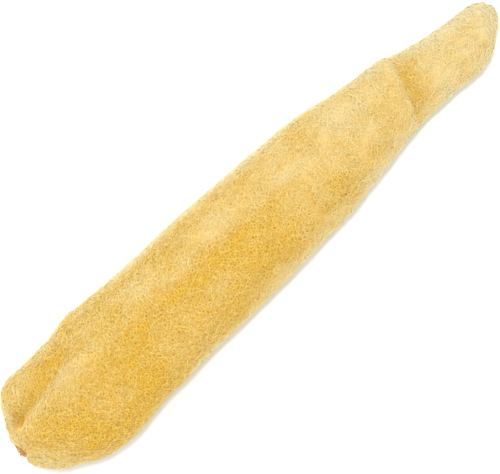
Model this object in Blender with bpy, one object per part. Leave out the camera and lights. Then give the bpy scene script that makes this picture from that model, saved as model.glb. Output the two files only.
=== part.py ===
"""A whole dried loofah lying on its side: one grown piece, with the net of its fibre mat raised on it.

Metres, +Z up. X runs from the thick blossom end to the thin stem end, and +Y is to the left of that.
The origin is at the bottom centre of the box, on the surface that the loofah lies on."""

import math
import random
from collections import namedtuple

import bmesh
import bpy
from mathutils import Vector, noise

# The form, as stations from the blossom end. left and right are the edges seen from above, and
# middle and half_height give the height. The first rows are the inside of the mouth, and past
# the shoulder at 0.42 the neck begins.
Station = namedtuple("Station", "x left right middle half_height")
STATIONS = [
    Station(0.0130, -0.0020, -0.0030, 0.0400, 0.0005),
    Station(0.0110, 0.0030, -0.0080, 0.0405, 0.0035),
    Station(0.0040, 0.0045, -0.0100, 0.0415, 0.0050),
    Station(0.0000, 0.0080, -0.0150, 0.0420, 0.0090),
    Station(0.0045, 0.0180, -0.0240, 0.0420, 0.0165),
    Station(0.0120, 0.0330, -0.0325, 0.0420, 0.0250),
    Station(0.0205, 0.0432, -0.0380, 0.0420, 0.0300),
    Station(0.0300, 0.0478, -0.0424, 0.0420, 0.0343),
    Station(0.0450, 0.0484, -0.0517, 0.0422, 0.0385),
    Station(0.0650, 0.0485, -0.0558, 0.0423, 0.0408),
    Station(0.0820, 0.0494, -0.0567, 0.0424, 0.0420),
    Station(0.0960, 0.0522, -0.0545, 0.0425, 0.0423),
    Station(0.1150, 0.0509, -0.0513, 0.0424, 0.0425),
    Station(0.1350, 0.0500, -0.0503, 0.0421, 0.0423),
    Station(0.1600, 0.0508, -0.0482, 0.0415, 0.0418),
    Station(0.2000, 0.0508, -0.0490, 0.0405, 0.0408),
    Station(0.2400, 0.0508, -0.0473, 0.0402, 0.0404),
    Station(0.2700, 0.0496, -0.0446, 0.0398, 0.0400),
    Station(0.2950, 0.0485, -0.0428, 0.0391, 0.0392),
    Station(0.3200, 0.0474, -0.0422, 0.0383, 0.0383),
    Station(0.3450, 0.0445, -0.0388, 0.0364, 0.0362),
    Station(0.3700, 0.0393, -0.0353, 0.0341, 0.0338),
    Station(0.3920, 0.0370, -0.0321, 0.0318, 0.0312),
    Station(0.4180, 0.0344, -0.0294, 0.0290, 0.0280),
    Station(0.4340, 0.0290, -0.0298, 0.0275, 0.0262),
    Station(0.4550, 0.0232, -0.0297, 0.0270, 0.0240),
    Station(0.4760, 0.0198, -0.0318, 0.0270, 0.0228),
    Station(0.4920, 0.0184, -0.0288, 0.0275, 0.0208),
    Station(0.5060, 0.0166, -0.0192, 0.0280, 0.0160),
    Station(0.5150, 0.0120, -0.0112, 0.0285, 0.0100),
    Station(0.5210, 0.0010, -0.0010, 0.0285, 0.0005),
]
FULLNESS = 2.12  # power of the cross-section's oval, where 2 is an ellipse
LOBES = 5  # faint ribs along the gourd
LOBE_HEIGHT = 0.0011
DENT_HEIGHT = 0.0022  # slow dents and swellings of the dried skin
DENT_SIZE = 0.060
NET_ROOM = 0.0014  # the edges in the table are those of the finished net, and the loft lies this far inside

# The crease where the left lobe tucks under the crown, at the blossom end
CREASE_DEPTH = 0.0080
CREASE_START = 0.0165  # its distance left of the axis at the end
CREASE_BEND = 1.9  # how fast it runs out to the left, per metre
CREASE_STEEP = 0.0045  # width of the side under the crown
CREASE_GENTLE = 0.0110  # width of the side on the lobe
CREASE_FULL = 0.060  # full depth up to here
CREASE_END = 0.118

# The shoulder, where the body ends in a rolled edge and the neck comes out of it
SHOULDER_X = 0.4240
SHOULDER_SLANT = 0.245
ROLL_HEIGHT = 0.0018
ROLL_BACK = 0.0080
ROLL_WIDTH = 0.0090
NECK_DROP = 0.0048
NECK_EDGE = 0.0030
NECK_RECOVERY = 0.030

# The net
CELL_LENGTH = 0.0072  # along the gourd
CELL_SHAPE = 1.42  # width round the gourd over length
MOUTH_CELL = 0.0036  # cells are this small at the mouth
MOUTH_REACH = 0.045
STRAND_HEIGHT = 0.0014
PIT_DEPTH = 0.0028
UNEVEN = 0.24  # share of a cell that its centre may be off its place
SEED = 7

# The flat spot that it rests on, under its weight
SPOT_X = 0.2185
SPOT_LENGTH = 0.150
SPOT_WIDTH = 0.026
UNDERSIDE_LIFT = 0.0016  # the loft stays this high, and the strands hang from it
UNDERSIDE_CLEARANCE = 0.0004  # no strand beside the spot comes lower

STRAW = (0.80, 0.56, 0.19, 1.0)


def clear_scene():
    for obj in list(bpy.data.objects):
        bpy.data.objects.remove(obj, do_unlink=True)


def smooth_step(low, high, value):
    share = min(max((value - low) / (high - low), 0.0), 1.0)
    return share * share * (3 - 2 * share)


def station_at(u):
    """The form at u, counted in rows of the table, on a Catmull-Rom curve through them."""
    last = len(STATIONS) - 1
    row = min(int(u), last - 1)
    f = u - row
    rows = [STATIONS[min(max(k, 0), last)] for k in range(row - 1, row + 3)]
    values = [
        0.5 * (2 * b + (c - a) * f + (2 * a - 5 * b + 4 * c - d) * f**2 + (3 * b - a - 3 * c + d) * f**3)
        for a, b, c, d in zip(*rows)
    ]
    return Station(*values)


def signed_power(value, power):
    return math.copysign(abs(value) ** power, value)


def relief_share(u):
    """The relief fades out inside the mouth and at the tip of the neck, where it would meet itself."""
    return smooth_step(2.0, 4.0, u) * smooth_step(0.2, 2.0, len(STATIONS) - 1 - u)


def oval_point(u, turn):
    """The plain loft, with no crease, shoulder or dents. turn is 0 at the left and a quarter at the top."""
    at = station_at(u)
    power = 2 / FULLNESS
    half_width = (at.left - at.right) / 2 - NET_ROOM * relief_share(u)
    y = (at.left + at.right) / 2 + half_width * signed_power(math.cos(turn), power)
    z = UNDERSIDE_LIFT + at.middle + at.half_height * signed_power(math.sin(turn), power)
    return Vector((at.x, y, z))


def oval_normal(u, turn):
    du, dt = 0.02, 0.02
    low, high = max(u - du, 0.0), min(u + du, len(STATIONS) - 1.0)
    along = oval_point(high, turn) - oval_point(low, turn)
    round_it = oval_point(u, turn + dt) - oval_point(u, turn - dt)
    normal = round_it.cross(along)
    if normal.length < 1e-12:
        return Vector((1.0 if u > 1 else -1.0, 0, 0))
    return normal.normalized()


def crease_cut(point, upper):
    """How far the crease pushes the surface in."""
    beside = point.y - CREASE_START - CREASE_BEND * point.x**2
    width = CREASE_GENTLE if beside > 0 else CREASE_STEEP
    along = 1 - smooth_step(CREASE_FULL, CREASE_END, point.x)
    return CREASE_DEPTH * along * upper * math.exp(-((beside / width) ** 2))


def shoulder_lift(point, upper):
    """The rolled edge of the body, and the neck's start below it."""
    past = point.x - SHOULDER_X - SHOULDER_SLANT * point.y
    roll = ROLL_HEIGHT * math.exp(-(((past + ROLL_BACK) / ROLL_WIDTH) ** 2))
    drop = NECK_DROP * smooth_step(-NECK_EDGE, NECK_EDGE, past) * math.exp(-max(past, 0) / NECK_RECOVERY)
    return (roll - drop) * upper


def dents(point, turn):
    slow = noise.noise(point / DENT_SIZE)
    ribs = math.cos(LOBES * turn + 9 * point.x) * smooth_step(0.02, 0.08, point.x)
    return DENT_HEIGHT * slow + LOBE_HEIGHT * ribs


def surface_point(u, turn, raised):
    """The finished surface, with the net's height added along its normal."""
    point = oval_point(u, turn)
    normal = oval_normal(u, turn)
    upper = smooth_step(0.0, 0.5, math.sin(turn))
    offset = shoulder_lift(point, upper) - crease_cut(point, upper) + dents(point, turn)
    point += normal * relief_share(u) * (offset + raised)
    return rest_on_spot(point)


def on_spot(point):
    along = (point.x - SPOT_X) / (SPOT_LENGTH / 2)
    across = point.y / (SPOT_WIDTH / 2)
    return along**2 + across**2 < 1 and point.z < SPOT_WIDTH


def rest_on_spot(point):
    if on_spot(point):
        return Vector((point.x, point.y, 0))
    return Vector((point.x, point.y, max(point.z, UNDERSIDE_CLEARANCE)))


def cell_length(x):
    return MOUTH_CELL + (CELL_LENGTH - MOUTH_CELL) * smooth_step(0, MOUTH_REACH, x)


def half_profile(u):
    """The place along the gourd and the half width there, as a flat point."""
    left, right = oval_point(u, 0), oval_point(u, math.pi)
    return Vector((left.x, (left - right).length / 2, 0))


def ring_stations():
    """u of each ring of cells, spaced by the cells' length along the surface."""
    fine_steps = 60
    last = len(STATIONS) - 1
    rings, walked = [], 0.0
    before = half_profile(0)
    for k in range(1, last * fine_steps):
        here = half_profile(k / fine_steps)
        walked += (here - before).length
        before = here
        if walked >= cell_length(here.x):
            rings.append(k / fine_steps)
            walked = 0.0
    return rings


def ring_count(u):
    """Cells round a ring."""
    sides = 48
    corners = [oval_point(u, 2 * math.pi * k / sides) for k in range(sides)]
    girth = sum((corners[k] - corners[k - 1]).length for k in range(sides))
    width = cell_length(corners[0].x) * CELL_SHAPE
    return max(5, round(girth / width))


def build_cells(bm, draw):
    """One vertex for each cell of the net, in rings, joined by triangles. Returns vertex: (u, turn)."""
    places = {}
    stations = ring_stations()
    rings = []
    for k, u in enumerate(stations):
        count = ring_count(u)
        step = 2 * math.pi / count
        before = stations[k - 1] if k else 0.0
        ring = []
        for j in range(count):
            off_u = draw.uniform(-UNEVEN, UNEVEN) * (u - before) * smooth_step(3, 6, u)
            off_turn = draw.uniform(-UNEVEN, UNEVEN) * step
            turn = (j + 0.5 * (k % 2)) * step + off_turn
            at = (u + off_u, turn)
            vert = bm.verts.new(surface_point(*at, 0))
            places[vert] = at
            ring.append(vert)
        rings.append(ring)
    for ring_a, ring_b in zip(rings, rings[1:]):
        join_rings(bm, places, ring_a, ring_b)
    for u, ring in ((0.0, rings[0]), (len(STATIONS) - 1.0, rings[-1])):
        pole = bm.verts.new(surface_point(u, 0, 0))
        places[pole] = (u, None)
        for k in range(len(ring)):
            bm.faces.new((ring[k - 1], ring[k], pole))
    return places


def join_rings(bm, places, ring_a, ring_b):
    """Triangles between two rings of cells, by the shorter diagonal each time."""
    a = b = 0
    count_a, count_b = len(ring_a), len(ring_b)
    while a < count_a or b < count_b:
        here_a, here_b = ring_a[a % count_a], ring_b[b % count_b]
        next_a, next_b = ring_a[(a + 1) % count_a], ring_b[(b + 1) % count_b]
        if b == count_b:
            step_a = True
        elif a == count_a:
            step_a = False
        else:
            step_a = (next_a.co - here_b.co).length < (next_b.co - here_a.co).length
        if step_a:
            bm.faces.new((here_a, next_a, here_b))
            a += 1
        else:
            bm.faces.new((here_a, next_b, here_b))
            b += 1


def mean_place(places, verts):
    """The middle of a triangle's three cells, as (u, turn)."""
    found = [places[vert] for vert in verts]
    turns = [turn for _, turn in found if turn is not None]
    turns = [turns[0] + (turn - turns[0] + math.pi) % (2 * math.pi) - math.pi for turn in turns]
    return sum(u for u, _ in found) / len(found), sum(turns) / len(turns)


def raise_net(bm, places, draw):
    """A knot in each triangle and a strand across each edge, with each cell sunk between them."""
    cells = list(bm.verts)
    old_edges = list(bm.edges)
    corners = [list(face.verts) for face in bm.faces]
    knots = bmesh.ops.poke(bm, faces=bm.faces[:])["verts"]
    bmesh.ops.rotate_edges(bm, edges=old_edges, use_ccw=True)
    for knot, verts in zip(knots, corners):
        height = STRAND_HEIGHT * draw.uniform(0.7, 1.25)
        knot.co = surface_point(*mean_place(places, verts), height)
    for cell in cells:
        u, turn = places[cell]
        depth = PIT_DEPTH * draw.uniform(0.7, 1.3)
        cell.co = surface_point(u, turn or 0.0, -depth)


def centre_on_origin(bm):
    """Puts the box's middle over the origin, and keeps the height."""
    xs = [vert.co.x for vert in bm.verts]
    ys = [vert.co.y for vert in bm.verts]
    middle = Vector(((min(xs) + max(xs)) / 2, (min(ys) + max(ys)) / 2, 0))
    bmesh.ops.translate(bm, vec=-middle, verts=bm.verts)


def straw_material():
    material = bpy.data.materials.new("straw")
    material.use_nodes = True
    shader = material.node_tree.nodes["Principled BSDF"]
    shader.inputs["Base Color"].default_value = STRAW
    shader.inputs["Roughness"].default_value = 0.85
    shader.inputs["Metallic"].default_value = 0.0
    return material


def build_loofah():
    draw = random.Random(SEED)
    bm = bmesh.new()
    places = build_cells(bm, draw)
    raise_net(bm, places, draw)
    centre_on_origin(bm)
    bmesh.ops.recalc_face_normals(bm, faces=bm.faces[:])
    mesh = bpy.data.meshes.new("loofah_sponge")
    bm.to_mesh(mesh)
    bm.free()
    mesh.shade_smooth()
    mesh.set_sharp_from_angle(angle=math.radians(35))
    mesh.materials.append(straw_material())
    loofah = bpy.data.objects.new("loofah_sponge", mesh)
    bpy.context.scene.collection.objects.link(loofah)


clear_scene()
build_loofah()
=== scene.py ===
import math
import random

import bpy
from mathutils import Euler, Matrix, Vector, noise
from mathutils.bvhtree import BVHTree


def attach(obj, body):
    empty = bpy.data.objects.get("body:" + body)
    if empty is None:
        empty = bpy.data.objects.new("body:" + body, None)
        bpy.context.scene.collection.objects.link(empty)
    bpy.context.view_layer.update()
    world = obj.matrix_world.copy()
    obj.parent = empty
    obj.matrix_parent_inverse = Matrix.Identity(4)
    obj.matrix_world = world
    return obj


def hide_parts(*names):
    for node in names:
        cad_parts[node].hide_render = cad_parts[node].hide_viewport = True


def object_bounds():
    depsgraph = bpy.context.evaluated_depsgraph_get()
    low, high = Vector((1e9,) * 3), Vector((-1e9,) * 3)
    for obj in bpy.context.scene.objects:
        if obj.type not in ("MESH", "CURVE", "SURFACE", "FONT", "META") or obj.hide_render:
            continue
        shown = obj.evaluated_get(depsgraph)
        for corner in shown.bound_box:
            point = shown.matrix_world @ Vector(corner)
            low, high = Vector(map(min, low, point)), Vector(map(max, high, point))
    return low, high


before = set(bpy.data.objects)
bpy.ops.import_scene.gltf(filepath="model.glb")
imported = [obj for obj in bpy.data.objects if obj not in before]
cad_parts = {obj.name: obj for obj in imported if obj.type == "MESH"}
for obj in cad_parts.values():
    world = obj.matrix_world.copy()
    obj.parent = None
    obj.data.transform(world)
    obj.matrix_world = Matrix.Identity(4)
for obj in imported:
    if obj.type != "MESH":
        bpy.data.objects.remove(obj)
cadLow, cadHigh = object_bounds()


# small tools

def pickNone():
    bpy.ops.object.select_all(action="DESELECT")


def pickOnly(obj):
    pickNone()
    obj.select_set(True)
    bpy.context.view_layer.objects.active = obj


def applyModifier(obj, kind, **settings):
    pickOnly(obj)
    modifier = obj.modifiers.new(kind.title(), kind)
    for name, value in settings.items():
        setattr(modifier, name, value)
    bpy.ops.object.modifier_apply(modifier=modifier.name)


def wrapOn(obj, base, lift):
    applyModifier(obj, "SHRINKWRAP", target=base, wrap_method="NEAREST_SURFACEPOINT",
                  wrap_mode="ABOVE_SURFACE", offset=lift)


def duplicate(obj, name):
    pickOnly(obj)
    bpy.ops.object.duplicate()
    copied = bpy.context.active_object
    copied.name = name
    copied.data.name = name
    return copied


def smoothShade(obj):
    pickOnly(obj)
    bpy.ops.object.shade_smooth()


def countTriangles(obj):
    return sum(len(face.vertices) - 2 for face in obj.data.polygons)


def smoothStep(low, high, value):
    share = min(max((value - low) / (high - low), 0.0), 1.0)
    return share * share * (3 - 2 * share)


def bump(distance, width):
    return math.exp(-((distance / width) ** 2))


# the value at a place in a table of (place, value) pairs
def between(table, at):
    for (low, first), (high, second) in zip(table, table[1:]):
        if at <= high:
            return first + (second - first) * min(max((at - low) / (high - low), 0), 1)
    return table[-1][1]


# all places on the gourd are counted from the blossom end, and to the left of its axis
origin = {
    "insideBox": 0.0006,
    "axisLeft": 0.0005,
}
endX, axisY = cadLow.x + origin["insideBox"], origin["axisLeft"]

# the smooth form of the gourd, which every layer is laid on
form = {
    "mergeWithin": 0.00001,
    "evenOut": 3,  # rounds of smoothing that take the coarse net off the CAD node
    "levels": 2,
    "topFacing": (-0.1, 0.55),  # how far up a face looks, from none of the carving to all of it
    # what the smoothing takes off is given back here
    "swell": [(0.000, 0.0010), (0.008, 0.0014), (0.020, 0.0020), (0.045, 0.0006), (0.400, 0.0006),
              (0.450, 0.0017), (0.480, 0.0017), (0.505, 0.0004), (0.522, 0.0006)],
}
crease = {
    "path": [(0.000, 0.0176), (0.009, 0.0172), (0.014, 0.0158), (0.019, 0.0140), (0.022, 0.0155),
             (0.025, 0.0181), (0.035, 0.0200), (0.046, 0.0210), (0.061, 0.0216), (0.073, 0.0256),
             (0.085, 0.0298), (0.098, 0.0340), (0.130, 0.0480)],
    "depth": [(0.000, -0.0036), (0.008, -0.0022), (0.013, 0.0012), (0.020, 0.0036), (0.030, 0.0016),
              (0.055, 0.0012), (0.075, 0.0005), (0.100, 0.0000)],
    "steep": 0.0038,  # width of its side under the crown
    "gentle": 0.0062,  # and of its side on the left lobe
    "fillWidth": 0.0085,  # where the depth is below 0, the surface is filled out
    "pocketAt": (0.0215, 0.0155),
    "pocket": 0.0016,
    "pocketWidth": 0.0040,
    "lip": 0.0007,
    "lipFull": 0.0020,  # depth of the crease at which the lip is whole
    "lipBack": 0.0064,
    "lipWidth": 0.0036,
}
shoulder = {
    "at": 0.4180,
    "slant": 0.350,
    "step": 0.0016,
    "edge": 0.0020,
    "fade": 0.014,
    "roll": 0.0005,
    "rollBack": 0.0050,
    "rollWidth": 0.0045,
}
mouth = {
    "at": (-0.0032, 0.0436),
    "notch": 0.0052,
    "lowerLip": 0.0048,
    "notchAt": -0.0030,
    "notchLeft": 0.0125,
    "notchRight": 0.0080,
    "tornAlong": (0.003, 0.016),
    "lipsMeet": (-0.002, 0.004),
}


def makeForm():
    pickNone()
    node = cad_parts["loofah_sponge"]
    base = node.copy()
    base.data = node.data.copy()
    base.name = "form"
    base.parent = None
    bpy.context.scene.collection.objects.link(base)
    pickOnly(base)
    bpy.ops.object.mode_set(mode="EDIT")
    bpy.ops.mesh.select_all(action="SELECT")
    bpy.ops.mesh.remove_doubles(threshold=form["mergeWithin"])
    bpy.ops.object.mode_set(mode="OBJECT")
    applyModifier(base, "SMOOTH", factor=0.5, iterations=form["evenOut"])
    applyModifier(base, "SUBSURF", levels=form["levels"], render_levels=form["levels"])
    carve(base)
    smoothShade(base)
    print("form:", len(base.data.polygons), "faces")
    return base


def creaseMoves(x, y):
    beside = y - between(crease["path"], x)
    width = crease["gentle"] if beside > 0 else crease["steep"]
    deep = between(crease["depth"], x)
    if deep < 0:
        width = crease["fillWidth"]
    lip = crease["lip"] * min(max(deep, 0) / crease["lipFull"], 1)
    pocketFar = math.hypot(x - crease["pocketAt"][0], y - crease["pocketAt"][1])
    return [-deep * bump(beside, width), lip * bump(beside + crease["lipBack"], crease["lipWidth"]),
            -crease["pocket"] * bump(pocketFar, crease["pocketWidth"])]


def shoulderMoves(x, y):
    past = x - shoulder["at"] - shoulder["slant"] * y
    drop = shoulder["step"] * smoothStep(-shoulder["edge"], shoulder["edge"], past)
    return [shoulder["roll"] * bump(past + shoulder["rollBack"], shoulder["rollWidth"]),
            -drop * math.exp(-max(past, 0) / shoulder["fade"])]


# the mouth's upper lip is torn back in a wedge, and the lower one stands out under it
def lipMove(x, y, z):
    offApex = y - mouth["notchAt"]
    torn = max(1 - max(offApex / mouth["notchLeft"], -offApex / mouth["notchRight"]), 0)
    torn *= 1 - smoothStep(*mouth["tornAlong"], x)
    above = smoothStep(*mouth["lipsMeet"], z - mouth["at"][1])
    return torn * (mouth["notch"] * above - mouth["lowerLip"] * (1 - above))


def carve(base):
    normals = [vert.normal.copy() for vert in base.data.vertices]
    for vert, normal in zip(base.data.vertices, normals):
        x, y, z = vert.co.x - endX, vert.co.y - axisY, vert.co.z
        upper = smoothStep(*form["topFacing"], normal.z)
        move = sum(creaseMoves(x, y) + shoulderMoves(x, y))
        vert.co += normal * (move * upper + between(form["swell"], x))
        vert.co.x += lipMove(x, y, z)


# points spread evenly over the form, then shaken out of their rows
def evenPoints(base, name, cell, shape, jitter, turned, seed):
    layer = duplicate(base, name)
    layer.data.transform(Matrix.Scale(shape, 4, (1, 0, 0)))
    turn = Euler(turned).to_matrix().to_4x4()
    layer.data.transform(turn)
    applyModifier(layer, "REMESH", mode="VOXEL", voxel_size=cell * math.sqrt(shape), adaptivity=0)
    layer.data.transform(turn.inverted())
    layer.data.transform(Matrix.Scale(1 / shape, 4, (1, 0, 0)))
    pickOnly(layer)
    bpy.ops.object.mode_set(mode="EDIT")
    bpy.ops.mesh.select_all(action="SELECT")
    bpy.ops.transform.vertex_random(offset=jitter, uniform=1, normal=0, seed=seed)
    bpy.ops.object.mode_set(mode="OBJECT")
    wrapOn(layer, base, 0)
    return layer


# the dense mat just below the surface
matLayer = {
    "voxel": 0.0019,
    "sunk": 0.0013,
    "lump": 0.0010,
    "lumpSize": 0.0035,
}


def makeMat(base):
    layer = duplicate(base, "fibre_mat")
    applyModifier(layer, "DISPLACE", strength=-matLayer["sunk"], mid_level=0)
    applyModifier(layer, "REMESH", mode="VOXEL", voxel_size=matLayer["voxel"], adaptivity=0)
    lumps = bpy.data.textures.new("lumps", "CLOUDS")
    lumps.noise_scale = matLayer["lumpSize"]
    lumps.noise_depth = 1
    applyModifier(layer, "DISPLACE", strength=matLayer["lump"], mid_level=0.5, texture=lumps,
                  texture_coords="LOCAL")
    smoothShade(layer)
    print("fibre_mat", countTriangles(layer), "triangles")
    return layer


# the net of strands on the surface
net = {
    "cell": 0.0029,
    "shape": 1.6,  # how much closer the cells stand along the gourd than round it
    "turned": (0.5, 0.3, 0.2),
    "jitter": 0.0014,
    "drift": 0.0022,
    "driftSize": 0.026,
    "lift": 0.0001,
    "uneven": 0.0004,
    "strand": 0.0009,
    "thinnest": 0.4,  # share of the strand's thickness
    "pieces": 4,
    "seed": 3,
}


# turns triangles between points into cells round them
def cellNodes():
    group = bpy.data.node_groups.new("cellsRoundPoints", "GeometryNodeTree")
    group.interface.new_socket("Mesh", in_out="INPUT", socket_type="NodeSocketGeometry")
    group.interface.new_socket("Mesh", in_out="OUTPUT", socket_type="NodeSocketGeometry")
    start = group.nodes.new("NodeGroupInput")
    dual = group.nodes.new("GeometryNodeDualMesh")
    end = group.nodes.new("NodeGroupOutput")
    group.links.new(start.outputs[0], dual.inputs[0])
    group.links.new(dual.outputs[0], end.inputs[0])
    return group


def driftPoints(layer):
    noise.seed_set(net["seed"])
    normals = [vert.normal.copy() for vert in layer.data.vertices]
    for vert, normal in zip(layer.data.vertices, normals):
        push = noise.noise_vector(vert.co / net["driftSize"])
        vert.co += (push - normal * push.dot(normal)) * net["drift"]


def varyStrands(layer):
    draw = random.Random(net["seed"])
    group = layer.vertex_groups.new(name="stout")
    normals = [vert.normal.copy() for vert in layer.data.vertices]
    for vert, normal in zip(layer.data.vertices, normals):
        vert.co += normal * draw.uniform(-net["uneven"], net["uneven"])
        vert.co.z = max(vert.co.z, net["strand"] / 2)
        group.add([vert.index], draw.uniform(net["thinnest"], 1.0), "REPLACE")


# one length of the net, with its cells' edges made strands
def cutLength(layer, cuts, k):
    piece = duplicate(layer, "net_%d" % (k + 1))
    bpy.ops.object.mode_set(mode="EDIT")
    bpy.ops.mesh.select_mode(type="FACE")
    bpy.ops.mesh.select_all(action="DESELECT")
    bpy.ops.object.mode_set(mode="OBJECT")
    for face in piece.data.polygons:
        face.select = sum(face.center.x >= cut for cut in cuts) != k
    bpy.ops.object.mode_set(mode="EDIT")
    bpy.ops.mesh.delete(type="FACE")
    bpy.ops.object.mode_set(mode="OBJECT")
    applyModifier(piece, "WIREFRAME", thickness=net["strand"], use_even_offset=False,
                  use_replace=True, use_boundary=True, vertex_group="stout", thickness_vertex_group=0.0)
    smoothShade(piece)
    print(piece.name, countTriangles(piece), "triangles")
    return piece


def makeNet(base):
    layer = evenPoints(base, "net", net["cell"], net["shape"], net["jitter"], net["turned"], net["seed"])
    driftPoints(layer)
    wrapOn(layer, base, net["lift"])
    applyModifier(layer, "TRIANGULATE", quad_method="SHORTEST_DIAGONAL")
    applyModifier(layer, "NODES", node_group=cellNodes())
    varyStrands(layer)
    print("net", len(layer.data.polygons), "cells")
    order = sorted(face.center.x for face in layer.data.polygons)
    cuts = [order[len(order) * k // net["pieces"]] for k in range(1, net["pieces"])]
    made = [cutLength(layer, cuts, k) for k in range(net["pieces"])]
    bpy.data.objects.remove(layer)
    return made


# short curling fibres, woven over and under the net
fibre = {
    "sides": 3,
    "step": 0.0018,
    "jitter": 0.35,  # share of the distance between the fibres
    "curl": 0.45,
    "pullHome": 0.15,  # how strongly a fibre turns back to its own way
    "period": (4, 7),  # steps from one rise over the net to the next
    "endSunk": 0.0008,
    "endThin": 0.55,
    "offFloor": 1.2,  # in thicknesses
    "nearAxis": 0.05,
    "layers": {
        "fibres_under": dict(every=0.0078, home=1.1, spread=0.5, middle=-0.0003, weave=0.0004,
                             thick=(0.00034, 0.00046), points=(4, 9), seed=11),
        "fibres_between": dict(every=0.0092, home=0.8, spread=0.5, middle=0.0001, weave=0.0004,
                               thick=(0.00024, 0.00032), points=(7, 12), seed=12),
        "fibres_over": dict(every=0.0078, home=0.4, spread=0.6, middle=0.0002, weave=0.0005,
                            thick=(0.00030, 0.00042), points=(4, 9), seed=13),
    },
}


def makeSection():
    pickNone()
    bpy.ops.curve.primitive_bezier_circle_add(radius=1)
    section = bpy.context.active_object
    section.data.splines.clear()
    spline = section.data.splines.new("POLY")
    spline.points.add(fibre["sides"] - 1)
    for k in range(fibre["sides"]):
        turn = math.tau * k / fibre["sides"]
        spline.points[k].co = (math.cos(turn), math.sin(turn), 0, 1)
    spline.use_cyclic_u = True
    section.hide_render = True
    return section


# a direction on the surface, turned from the way round the gourd
def headingOn(normal, turn):
    around = normal.cross(Vector((1, 0, 0)))
    if around.length < fibre["nearAxis"]:
        around = normal.cross(Vector((0, 1, 0)))
    around.normalize()
    along = around.cross(normal)
    return around * math.cos(turn) + along * math.sin(turn)


def growFibre(tree, draw, start, home, spread, middle, weave, thick, points):
    place, normal, _, _ = tree.find_nearest(start)
    homeTurn = home * draw.choice((-1, 1)) + draw.gauss(0, spread)
    turn, way = homeTurn, draw.choice((0, math.pi))
    phase, period = draw.uniform(0, math.tau), draw.uniform(*fibre["period"])
    many = draw.randint(*points)
    width = draw.uniform(*thick)
    coords, radii = [], []
    for k in range(many):
        turn += (homeTurn - turn) * fibre["pullHome"] + draw.gauss(0, fibre["curl"])
        heading = headingOn(normal, turn + way)
        isEnd = k in (0, many - 1)
        sunk = fibre["endSunk"] if isEnd else 0
        at = place + normal * (middle + weave * math.sin(phase + math.tau * k / period) - sunk)
        at.z = max(at.z, width * fibre["offFloor"])
        coords += (*at, 1)
        radii.append(width * (fibre["endThin"] if isEnd else 1.0))
        place, normal, _, _ = tree.find_nearest(place + heading * fibre["step"])
    return coords, radii


def layFibres(base, tree, section, name, every, seed, **looks):
    draw = random.Random(seed)
    turned = (0.1 * seed, 0.2 * seed, 0.3)  # so that no two layers' rows lie the same way
    starts = evenPoints(base, "starts", every, 1, every * fibre["jitter"], turned, seed)
    places = [vert.co.copy() for vert in starts.data.vertices]
    bpy.data.objects.remove(starts)
    curve = bpy.data.curves.new(name, "CURVE")
    curve.dimensions = "3D"
    for start in places:
        coords, radii = growFibre(tree, draw, start, **looks)
        spline = curve.splines.new("POLY")
        spline.points.add(len(radii) - 1)
        spline.points.foreach_set("co", coords)
        spline.points.foreach_set("radius", radii)
        spline.use_smooth = True
    curve.bevel_mode = "OBJECT"
    curve.bevel_object = section
    curve.use_fill_caps = True
    piece = bpy.data.objects.new(name, curve)
    bpy.context.scene.collection.objects.link(piece)
    pickOnly(piece)
    bpy.ops.object.convert(target="MESH")
    piece = bpy.context.active_object
    smoothShade(piece)
    print(name, len(places), "fibres", countTriangles(piece), "triangles")
    return piece


# materials

# the deeper layers are darker gold than the strands and fibres on top, and each layer's shift makes the
# lower layers less pale and the upper ones paler: painted shade for the depths of the net
topPale, topGold = (0.86, 0.76, 0.46), (0.905, 0.63, 0.078)
straws = {
    "straw_mat": dict(pale=(0.86, 0.745, 0.43), gold=(0.70, 0.42, 0.025), shift=-0.03,
                      poreShadeColour=(0.50, 0.26, 0.014)),
    "straw_under": dict(pale=(0.86, 0.75, 0.445), gold=(0.80, 0.55, 0.05), shift=-0.03),
    "straw_net": dict(shift=0.03),
    "straw_between": dict(shift=0.03),
    "straw_over": dict(shift=0.06),
}
# soft random patterns, each with its scale and detail
clouds = {
    "large": (34.0, 3.0),
    "stretch": (0.55, 1.0, 1.0),  # draws the large ones out along the gourd
    "blotch": (95.0, 2.0),
    "fine": (600.0, 2.0),
    "spots": (290.0, 1.0),
}
# in the tables below, four numbers are two places and the share at each of them, and two numbers
# are places between which the share goes from 0 to 1
paler = {
    "everywhere": 0.14,
    "neck": (0.18, 0.56, 0.0, 0.57),
    "blossomEnd": (0.0, 0.055, 0.28, 0.0),
    # a band left of the crown
    "bandInner": (0.004, 0.019),
    "bandOuter": (0.025, 0.042, 0.30, 0.11),
    "bandStart": (0.04, 0.16, 0.70, 1.0),
    "bandEnd": (0.27, 0.37, 1.0, 0.45),
    # paler on the left flank: painted light on the side the light falls on
    "leftFlank": (0.020, 0.050, 0.0, 0.16),
    "leftFlankAlong": (0.08, 0.22),
    # the rim against the floor, painted paler: painted highlight for the sheen at the grazing edges, which
    # also lifts the shade on the low flanks
    "rimTop": (0.30, 0.46, 0.070, 0.052),
    "rim": (-0.026, 0.000, 0.46, 0.0),
    "rimAlong": (0.02, 0.22, 0.55, 1.0),
    # before the shoulder, most on the right
    "rightFlank": (-0.030, -0.004, 0.17, 0.07),
    "rightFlankStart": (0.33, 0.41),
    "rightFlankEnd": (0.445, 0.465, 1.0, 0.0),
    "large": (0.34, 0.68, -0.14, 0.14),
    "blotch": (0.30, 0.70, -0.07, 0.07),
}
# gold beside the crease is painted shade; gold past the shoulder is painted shade behind the step, mixed
# with the neck's own golden patches
goldAndPaintedShade = {
    "creasePath": (0.0, 0.085, 0.0165, 0.0290),
    "creaseEdge": (-0.0070, -0.0020),
    "creaseFade": (0.001, 0.018, 1.0, 0.0),
    "creaseAlong": (0.050, 0.110, 0.40, 0.0),
    "neckStart": (-0.001, 0.003),
    "neckFade": (0.006, 0.042, 1.0, 0.0),
    "neckLarge": (0.38, 0.58, 0.28, 0.50),
}
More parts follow.
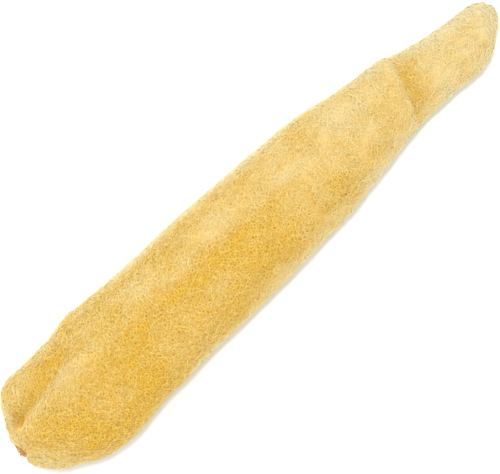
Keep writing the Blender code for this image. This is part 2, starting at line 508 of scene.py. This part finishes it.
# flecks, riper spots and the painted shade between the deeper fibres fade where the straw is pale
flecks = {
    "share": (0.32, 0.60, 0.45, 0.0),
    "fade": (0.15, 0.70, 1.35, 0.15),
    "colour": (0.65, 0.40, 0.036),
}
spots = {
    "share": (0.52, 0.68, 0.0, 0.6),
    "fade": (0.15, 0.70, 1.0, 0.1),
    "colour": (0.70, 0.39, 0.03),
}
# painted shade in the pores: dark edges on the mat where the gaps between the deeper fibres are shaded
paintedPoreShade = {
    "swirl": 240.0,
    "bend": 0.0022,
    "scales": (330.0, 470.0),
    "share": (0.07, 0.22, 0.0, 0.8),
    "fade": (0.05, 0.60, 1.5, 0.05),
}
# painted shade in the hollow of the pocket at the crease's end
paintedPocketShade = {
    "at": (0.0175, 0.0162),
    "size": (0.0085, 0.0040),
    "share": (0.0, 1.2, 0.55, 0.0),
    "colour": (0.84, 0.49, 0.035),
}
mouthTint = {
    "size": (0.0100, 0.0105),
    "share": (0.6, 1.15, 1.0, 0.0),
    "along": (0.012, 0.020, 1.0, 0.0),
    "colour": (0.66, 0.33, 0.07),
}
finish = {
    "roughness": (0.3, 0.7, 0.70, 0.92),
    "relief": 0.25,
    "reliefHeight": 0.0004,
    "specular": 0.3,
    "sheen": 0.5,
    "sheenRoughness": 0.5,
    "sheenTint": (1.0, 0.90, 0.66, 1),
}


# shader nodes, written as short calls
class StrawNodes:
    def __init__(self, tree):
        self.tree = tree

    def add(self, kind, inputs, **settings):
        node = self.tree.nodes.new(kind)
        for key, value in settings.items():
            setattr(node, key, value)
        for key, value in inputs.items():
            if isinstance(value, bpy.types.NodeSocket):
                self.tree.links.new(value, node.inputs[key])
            else:
                node.inputs[key].default_value = value
        return node

    def calculate(self, operation, a, b):
        return self.add("ShaderNodeMath", {0: a, 1: b}, operation=operation).outputs[0]

    def plus(self, a, b):
        return self.calculate("ADD", a, b)

    def minus(self, a, b):
        return self.calculate("SUBTRACT", a, b)

    def times(self, a, b):
        return self.calculate("MULTIPLY", a, b)

    def ramp(self, value, low, high, toLow=0.0, toHigh=1.0):
        return self.add("ShaderNodeMapRange", {"Value": value, "From Min": low, "From Max": high,
                                               "To Min": toLow, "To Max": toHigh},
                        interpolation_type="SMOOTHSTEP").outputs[0]

    # the square of how far a place is from another, in half widths
    def farOff(self, places, middle, size):
        offs = [self.calculate("DIVIDE", self.minus(place, at), half)
                for place, at, half in zip(places, middle, size)]
        return self.plus(*[self.times(off, off) for off in offs])

    def mixColours(self, share, first, second):
        node = self.add("ShaderNodeMix", {0: share}, data_type="RGBA")
        for place, colour in ((6, first), (7, second)):  # the sockets of its two colours
            if isinstance(colour, bpy.types.NodeSocket):
                self.tree.links.new(colour, node.inputs[place])
            else:
                node.inputs[place].default_value = (*colour, 1)
        return node.outputs[2]

    def cloudsAt(self, place, scale, detail):
        return self.add("ShaderNodeTexNoise", {"Vector": place, "Scale": scale, "Detail": detail}).outputs[0]


def paleShares(nodes, x, y, z, large, blotch):
    # the rim share is a painted highlight at the grazing edges, and the left flank share is painted light on
    # the lit side
    rimTop = nodes.ramp(x, *paler["rimTop"])
    rim = nodes.ramp(nodes.minus(z, rimTop), *paler["rim"])
    band = nodes.times(nodes.ramp(y, *paler["bandInner"]), nodes.ramp(y, *paler["bandOuter"]))
    band = nodes.times(band, nodes.ramp(x, *paler["bandEnd"]))
    beforeShoulder = nodes.times(nodes.ramp(x, *paler["rightFlankStart"]),
                                 nodes.ramp(x, *paler["rightFlankEnd"]))
    return [
        nodes.ramp(x, *paler["neck"]),
        nodes.ramp(x, *paler["blossomEnd"]),
        nodes.times(band, nodes.ramp(x, *paler["bandStart"])),
        nodes.times(nodes.ramp(y, *paler["leftFlank"]), nodes.ramp(x, *paler["leftFlankAlong"])),
        nodes.times(rim, nodes.ramp(x, *paler["rimAlong"])),
        nodes.times(nodes.ramp(y, *paler["rightFlank"]), beforeShoulder),
        nodes.ramp(large, *paler["large"]),
        nodes.ramp(blotch, *paler["blotch"]),
    ]


# golden on the lobe beside the crease, painted shade in the crease, and just past the shoulder, painted
# shade behind the shoulder's step broken into the neck's own golden patches
def goldAndPaintedShadeShares(nodes, x, y, large):
    crossed = nodes.minus(y, nodes.ramp(x, *goldAndPaintedShade["creasePath"]))
    onLobe = nodes.times(nodes.ramp(crossed, *goldAndPaintedShade["creaseEdge"]),
                         nodes.ramp(crossed, *goldAndPaintedShade["creaseFade"]))
    inCrease = nodes.times(onLobe, nodes.ramp(x, *goldAndPaintedShade["creaseAlong"]))
    past = nodes.minus(nodes.minus(x, nodes.times(y, shoulder["slant"])), shoulder["at"])
    onNeck = nodes.times(nodes.ramp(past, *goldAndPaintedShade["neckStart"]), nodes.ramp(past, *goldAndPaintedShade["neckFade"]))
    onNeck = nodes.times(onNeck, nodes.ramp(large, *goldAndPaintedShade["neckLarge"]))
    return [inCrease, onNeck]


# painted shade in the gaps between the deeper fibres, drawn on the mat
def paintedPoreShadeShare(nodes, coords, paleness):
    swirl = nodes.add("ShaderNodeTexNoise", {"Vector": coords, "Scale": paintedPoreShade["swirl"]}).outputs[1]
    bent = nodes.add("ShaderNodeMix", {0: paintedPoreShade["bend"], 4: coords, 5: swirl},
                     data_type="VECTOR").outputs[1]
    wide = [nodes.add("ShaderNodeTexVoronoi", {"Vector": bent, "Scale": scale, "Randomness": 1.0},
                      feature="DISTANCE_TO_EDGE").outputs[0] for scale in paintedPoreShade["scales"]]
    deepest = nodes.calculate("MINIMUM", *wide)
    return nodes.times(nodes.ramp(deepest, *paintedPoreShade["share"]), nodes.ramp(paleness, *paintedPoreShade["fade"]))


def makeStraw(name, shift, pale=topPale, gold=topGold, poreShadeColour=None):
    material = bpy.data.materials.new(name)
    material.use_nodes = True
    shader = material.node_tree.nodes["Principled BSDF"]
    nodes = StrawNodes(material.node_tree)

    coords = nodes.add("ShaderNodeTexCoord", {}).outputs["Object"]
    parts = nodes.add("ShaderNodeSeparateXYZ", {0: coords}).outputs
    x, y, z = nodes.minus(parts[0], endX), nodes.minus(parts[1], axisY), parts[2]
    stretched = nodes.add("ShaderNodeMapping", {"Vector": coords, "Scale": clouds["stretch"]}).outputs[0]
    large = nodes.cloudsAt(stretched, *clouds["large"])
    blotch = nodes.cloudsAt(coords, *clouds["blotch"])
    fine = nodes.cloudsAt(coords, *clouds["fine"])

    # each layer's shift is painted depth shade: lower layers less pale, upper layers paler
    paleness = paler["everywhere"] + shift
    for share in paleShares(nodes, x, y, z, large, blotch):
        paleness = nodes.plus(share, paleness)
    for share in goldAndPaintedShadeShares(nodes, x, y, large):
        paleness = nodes.minus(paleness, share)
    paleness = nodes.add("ShaderNodeClamp", {0: paleness}).outputs[0]
    colour = nodes.mixColours(paleness, gold, pale)

    for tint, cloud in ((flecks, fine), (spots, nodes.cloudsAt(coords, *clouds["spots"]))):
        share = nodes.times(nodes.ramp(cloud, *tint["share"]), nodes.ramp(paleness, *tint["fade"]))
        colour = nodes.mixColours(share, colour, tint["colour"])
    # painted shade between the deeper fibres, on the mat only
    if poreShadeColour:
        colour = nodes.mixColours(paintedPoreShadeShare(nodes, coords, paleness), colour, poreShadeColour)

    # deeper gold in the pocket at the crease's end, painted shade in its hollow, and reddish brown inside
    # the mouth
    pocketFar = nodes.farOff((x, y), paintedPocketShade["at"], paintedPocketShade["size"])
    colour = nodes.mixColours(nodes.ramp(pocketFar, *paintedPocketShade["share"]), colour, paintedPocketShade["colour"])
    mouthFar = nodes.farOff((y, z), mouth["at"], mouthTint["size"])
    inMouth = nodes.times(nodes.ramp(mouthFar, *mouthTint["share"]), nodes.ramp(x, *mouthTint["along"]))
    colour = nodes.mixColours(inMouth, colour, mouthTint["colour"])

    relief = nodes.add("ShaderNodeBump", {"Strength": finish["relief"], "Distance": finish["reliefHeight"],
                                          "Height": fine})
    material.node_tree.links.new(colour, shader.inputs["Base Color"])
    material.node_tree.links.new(nodes.ramp(fine, *finish["roughness"]), shader.inputs["Roughness"])
    material.node_tree.links.new(relief.outputs[0], shader.inputs["Normal"])
    shader.inputs["Specular IOR Level"].default_value = finish["specular"]
    shader.inputs["Sheen Weight"].default_value = finish["sheen"]
    shader.inputs["Sheen Roughness"].default_value = finish["sheenRoughness"]
    shader.inputs["Sheen Tint"].default_value = finish["sheenTint"]
    return material


def strawFor(piece):
    if piece.name.startswith("net"):
        return "straw_net"
    return "straw_" + piece.name.split("_")[1]


paper = {
    "size": 6,
    "colour": (0.90, 0.90, 0.90, 1),
}


def makeFloor():
    pickNone()
    bpy.ops.mesh.primitive_plane_add(size=paper["size"], location=(0, 0, 0))
    floor = bpy.context.active_object
    floor.name = "floor"
    material = bpy.data.materials.new("paper")
    material.use_nodes = True
    shader = material.node_tree.nodes["Principled BSDF"]
    shader.inputs["Base Color"].default_value = paper["colour"]
    shader.inputs["Roughness"].default_value = 1
    floor.data.materials.append(material)


view = {
    "photoWidth": 500,
    "metresPerPixel": 0.0008,
    "gourdTurn": 43.025,  # degrees, from the picture's right to the neck
    "middle": (-0.0104, -0.0005),
    "silhouetteHeight": 0.042,
    "lens": 100,
    "sensorWidth": 36,
}


def makeCamera():
    pickNone()
    bpy.ops.object.camera_add()
    camera = bpy.context.active_object
    camera.data.lens = view["lens"]
    camera.data.sensor_width = view["sensorWidth"]
    span = view["photoWidth"] * view["metresPerPixel"]
    distance = span * view["lens"] / view["sensorWidth"]
    camera.location = (*view["middle"], view["silhouetteHeight"] + distance)
    camera.rotation_euler = (0, 0, -math.radians(view["gourdTurn"]))
    bpy.context.scene.camera = camera


light = {
    "sky": 0.91,
    "keyAt": (0.055, 0.125, 1.5),
    "keySize": 0.13,
    "keyPower": 9.6,
    "fills": [((-0.12, 0.95, 0.55), 1.8), ((-0.30, -0.90, 0.50), 1.6)],  # places and powers
    "fillSize": 0.6,
}


# a soft lamp that looks at the loofah
def addLamp(place, shape, size, power):
    pickNone()
    bpy.ops.object.light_add(type="AREA", location=place)
    lamp = bpy.context.active_object
    lamp.data.shape = shape
    lamp.data.size = size
    lamp.data.energy = power
    lamp.rotation_euler = (-lamp.location).to_track_quat("-Z", "Y").to_euler()


def makeLights():
    world = bpy.data.worlds.new("studio")
    bpy.context.scene.world = world
    world.use_nodes = True
    sky = world.node_tree.nodes["Background"].inputs
    sky["Color"].default_value = (1, 1, 1, 1)
    sky["Strength"].default_value = light["sky"]
    addLamp(light["keyAt"], "DISK", light["keySize"], light["keyPower"])
    for place, power in light["fills"]:
        addLamp(place, "SQUARE", light["fillSize"], power)
    bpy.context.scene.view_settings.view_transform = "Standard"


base = makeForm()
tree = BVHTree.FromObject(base, bpy.context.evaluated_depsgraph_get())
core = makeMat(base)
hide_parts("loofah_sponge")
section = makeSection()
pieces = [core] + makeNet(base)
for name, settings in fibre["layers"].items():
    pieces.append(layFibres(base, tree, section, name, **settings))
made = {name: makeStraw(name, **settings) for name, settings in straws.items()}
for piece in pieces:
    piece.data.materials.clear()
    piece.data.materials.append(made[strawFor(piece)])
    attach(piece, "root")
print("total", sum(countTriangles(piece) for piece in pieces), "triangles")
bpy.data.objects.remove(base)
bpy.data.objects.remove(section)
makeFloor()
makeCamera()
makeLights()
